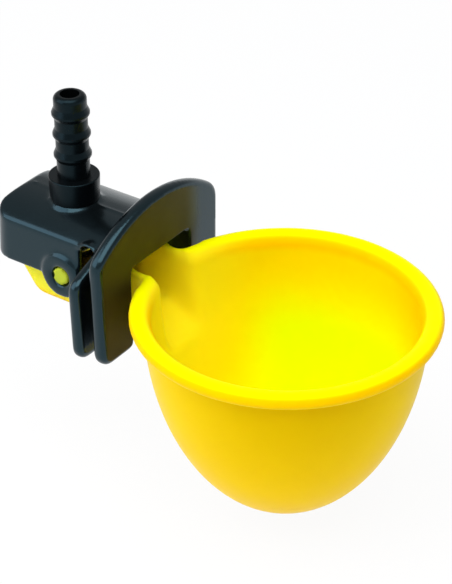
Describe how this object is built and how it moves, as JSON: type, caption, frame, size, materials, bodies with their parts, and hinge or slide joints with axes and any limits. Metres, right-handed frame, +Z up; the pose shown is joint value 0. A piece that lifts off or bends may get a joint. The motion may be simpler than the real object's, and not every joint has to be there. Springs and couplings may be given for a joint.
{
  "type": "poultry cup drinker",
  "caption": "Weight-operated cup drinker for poultry cages: a yellow bowl on a hinged channel arm, in a black housing with cage plates and a barbed hose tail.",
  "frame": {"origin": "middle of the gap between the shield and the wing plate, which takes the cage panel, level with the cup's hinge axis", "axes": "+X from the water inlet to the bowl, square to the cage panel; +Y across, along the hinge axis; +Z up, along the hose tail"},
  "size_m": [0.126, 0.08, 0.099],
  "materials": {
    "black_plastic": "satin gloss moulded plastic",
    "hose_tail_plastic": "satin gloss moulded plastic",
    "nut_plastic": "moulded plastic",
    "spring_steel": "drawn stainless wire",
    "valve_rubber": "matt moulded rubber",
    "yellow_plastic": "satin moulded plastic"
  },
  "bodies": {
    "housing": {"housing": "black_plastic", "hose_tail": "hose_tail_plastic", "tail_nut": "nut_plastic", "return_spring": "spring_steel"},
    "cup": {"cup": "yellow_plastic", "valve_pad": "valve_rubber"}
  },
  "joints": [
    {"name": "cup_hinge", "type": "hinge", "parent": "housing", "child": "cup", "pos_m": [-0.0165, 0, 0], "axis": [0, 1, 0], "range_deg": [0, 6], "stiffness_Nm_per_rad": 0.3, "springref_deg": -6.88, "deforming": ["return_spring"]}
  ]
}
